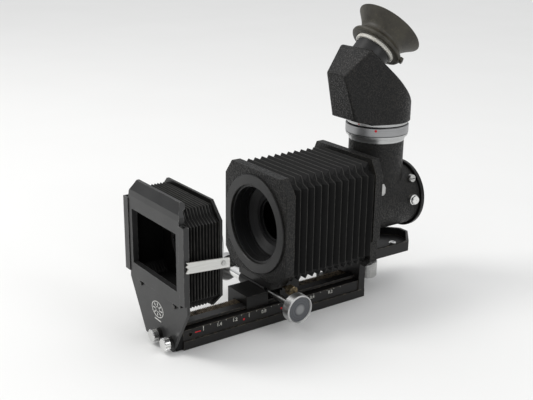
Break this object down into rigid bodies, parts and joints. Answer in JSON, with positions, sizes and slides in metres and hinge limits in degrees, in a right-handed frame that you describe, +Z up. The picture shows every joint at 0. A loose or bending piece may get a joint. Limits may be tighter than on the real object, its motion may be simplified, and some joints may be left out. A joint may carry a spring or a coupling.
{
  "type": "bellows focusing unit with reflex finder",
  "caption": "Tabletop bellows focusing unit on a rack-and-pinion bed, with a mirror housing, a slanted finder and a folding lens hood.",
  "frame": {"origin": "mouth of the tripod socket in the bed's underside", "axes": "+Y from the lens hood to the camera end, +Z up, +X to the operator's left side"},
  "size_m": [0.1134, 0.2714, 0.254],
  "materials": {
    "crinkle_black": "black crinkle enamel",
    "satin_black": "satin black enamel",
    "grey_black": "worn satin black that reads dark grey",
    "bed_black": "black anodised with white and red scale marks",
    "matt_black": "matt anti-reflection black",
    "satin_aluminium": "satin turned aluminium",
    "chrome": "polished chrome",
    "satin_chrome": "satin chrome",
    "steel": "bright steel",
    "strap_metal": "light grey plated steel",
    "brass": "blackened brass worn through on the teeth",
    "cream": "cream enamel ring",
    "eyecup_rubber": "soft dark rubber with an olive tint",
    "bellows_cloth": "coated bellows cloth",
    "dark_disc": "dark dished disc",
    "lens_glass": "polished glass",
    "mirror_face": "front-silvered mirror",
    "black_screw": "blackened steel with worn edges"
  },
  "bodies": {
    "base": {"bed": "bed_black", "track": "bed_black", "rack": "brass", "riser": "satin_black", "tray": "satin_black", "pedestal": "satin_black", "tray_screw": "chrome", "tray_knob_collar": "satin_black", "rear_standard": "crinkle_black", "mirror_housing": "satin_black", "camera_flange": "satin_black", "button_collar": "chrome", "housing_catch": "chrome", "finder_seat": "satin_chrome", "focusing_screen": "lens_glass", "main_bellows": "bellows_cloth", "bracket_spacer": "matt_black", "hood_bracket": "grey_black", "hood_frame": "grey_black", "hood_guide_left": "grey_black", "hood_guide_right": "grey_black", "frame_screw_left": "black_screw", "frame_screw_right": "black_screw", "screw_collar_left": "black_screw", "screw_collar_right": "black_screw", "hood_bellows": "bellows_cloth"},
    "carriage": {"front_standard": "crinkle_black", "lens_ring": "satin_black", "lens_funnel": "matt_black", "lens_thread": "matt_black", "carriage": "satin_black", "bearing_tube": "satin_black"},
    "drive": {"pinion_shaft": "steel", "pinion": "steel", "far_hub": "chrome", "near_knob": "satin_aluminium", "near_knob_disc": "dark_disc", "far_knob": "satin_aluminium", "far_knob_disc": "dark_disc"},
    "lock": {"lock_screw": "brass"},
    "tray_clamp": {"tray_knob": "satin_aluminium"},
    "mirror": {"mirror_frame": "steel", "mirror_glass": "mirror_face", "mirror_axle_head": "chrome"},
    "release": {"release_button": "chrome"},
    "ring_lock": {"lock_ring": "satin_chrome"},
    "finder": {"finder_ring": "satin_chrome", "finder_head": "crinkle_black", "field_lens": "lens_glass", "eyepiece_tube": "satin_black"},
    "eyepiece": {"eyepiece_ring": "cream", "eyepiece_lens": "lens_glass", "eyecup": "eyecup_rubber"},
    "hood_rear": {"hood_rear_frame": "grey_black", "hood_ring": "chrome", "strap_pivot": "strap_metal"},
    "hood_strap": {"strap": "strap_metal"},
    "clamp_left": {"thumbscrew_left": "chrome"},
    "clamp_right": {"thumbscrew_right": "chrome"}
  },
  "joints": [
    {"name": "carriage_slide", "type": "slide", "parent": "base", "child": "carriage", "axis": [0, 1, 0], "range_m": [-0.022, 0.045], "deforming": ["main_bellows"]},
    {"name": "focus_turn", "type": "hinge", "parent": "carriage", "child": "drive", "pos_m": [0, 0.0064, 0.024], "axis": [1, 0, 0], "range_deg": [-574, 281]},
    {"name": "carriage_lock_turn", "type": "hinge", "parent": "carriage", "child": "lock", "pos_m": [0.036, 0.0105, 0.0334], "axis": [1, 0, 0], "range_deg": [-180, 180]},
    {"name": "tray_clamp_turn", "type": "hinge", "parent": "base", "child": "tray_clamp", "pos_m": [0, 0.127, 0.014], "axis": [0, 0, 1], "continuous": true},
    {"name": "mirror_flip", "type": "hinge", "parent": "base", "child": "mirror", "pos_m": [0, 0.155, 0.101], "axis": [1, 0, 0], "range_deg": [-45, 0]},
    {"name": "release_press", "type": "slide", "parent": "base", "child": "release", "axis": [-1, 0, 0], "range_m": [0, 0.002], "stiffness_N_per_m": 300},
    {"name": "ring_lock_turn", "type": "hinge", "parent": "base", "child": "ring_lock", "pos_m": [0, 0.1307, 0.1475], "axis": [0, 0, 1], "range_deg": [0, 40]},
    {"name": "finder_turn", "type": "hinge", "parent": "base", "child": "finder", "pos_m": [0, 0.1307, 0.16], "axis": [0, 0, 1], "continuous": true},
    {"name": "dioptre_turn", "type": "hinge", "parent": "finder", "child": "eyepiece", "pos_m": [0, 0.1222, 0.2155], "axis": [0, 0.7071, 0.7071], "range_deg": [-120, 120]},
    {"name": "hood_slide", "type": "slide", "parent": "base", "child": "hood_rear", "axis": [0, 1, 0], "range_m": [-0.01, 0.02], "deforming": ["hood_bellows"]},
    {"name": "strap_swing", "type": "hinge", "parent": "hood_rear", "child": "hood_strap", "pos_m": [0.0489, -0.0616, 0.0774], "axis": [1, 0, 0], "range_deg": [-85, 85]},
    {"name": "clamp_left_turn", "type": "hinge", "parent": "base", "child": "clamp_left", "pos_m": [0.0205, -0.095, 0.008], "axis": [0, 1, 0], "continuous": true},
    {"name": "clamp_right_turn", "type": "hinge", "parent": "base", "child": "clamp_right", "pos_m": [0.002, -0.095, 0.008], "axis": [0, 1, 0], "continuous": true}
  ],
  "couplings": [
    {"joint": "focus_turn", "follows": "carriage_slide", "rad_per_m": -222.22}
  ]
}
